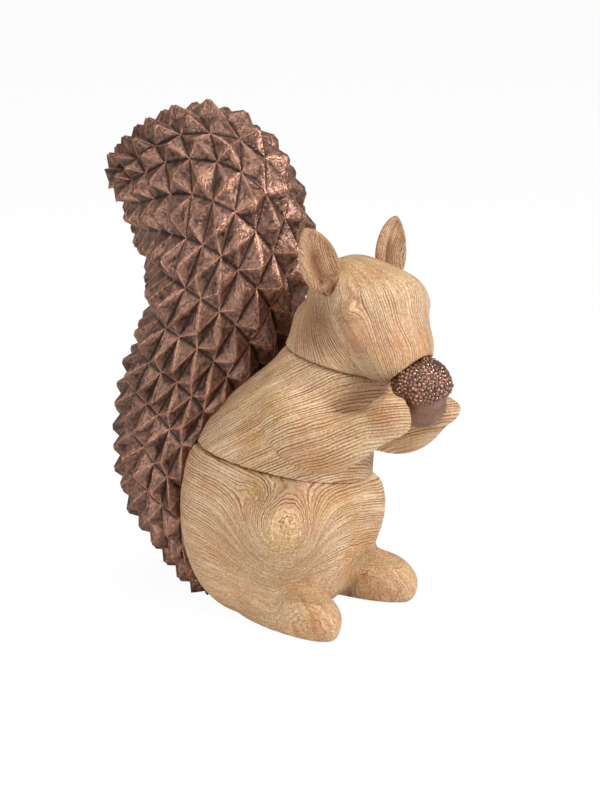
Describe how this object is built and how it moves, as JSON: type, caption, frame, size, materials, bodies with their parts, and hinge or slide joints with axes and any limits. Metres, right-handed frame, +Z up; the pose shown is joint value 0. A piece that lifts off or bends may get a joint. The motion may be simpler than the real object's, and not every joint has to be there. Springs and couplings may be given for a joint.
{
  "type": "squirrel figurine",
  "caption": "Sitting squirrel figurine of stacked carved wood blocks, holding an acorn in its paws, with a large upright tail covered in pointed scales.",
  "frame": {"origin": "centre of the bounding box's bottom face, on the ground", "axes": "+Z up, -Y the way the squirrel faces, -X its right side"},
  "size_m": [0.094, 0.1912, 0.2316],
  "materials": {
    "carved_wood": "matt, wire-brushed grain",
    "bronze_scaled": "cast resin, antique bronze paint, semi-gloss",
    "bronze_smooth": "cast resin, antique bronze paint, satin",
    "dowel_wood": "plain turned beech"
  },
  "bodies": {
    "root": {"lower_body": "carved_wood", "upper_body": "carved_wood", "head": "carved_wood", "right_ear": "carved_wood", "left_ear": "carved_wood", "acorn_nut": "bronze_smooth", "acorn_cap": "bronze_scaled", "tail": "bronze_scaled", "waist_dowel_right": "dowel_wood", "waist_dowel_left": "dowel_wood", "neck_dowel_right": "dowel_wood", "neck_dowel_left": "dowel_wood", "paw_peg_right": "dowel_wood", "paw_peg_left": "dowel_wood", "tail_dowel_low": "dowel_wood", "tail_dowel_high": "dowel_wood"}
  },
  "joints": []
}
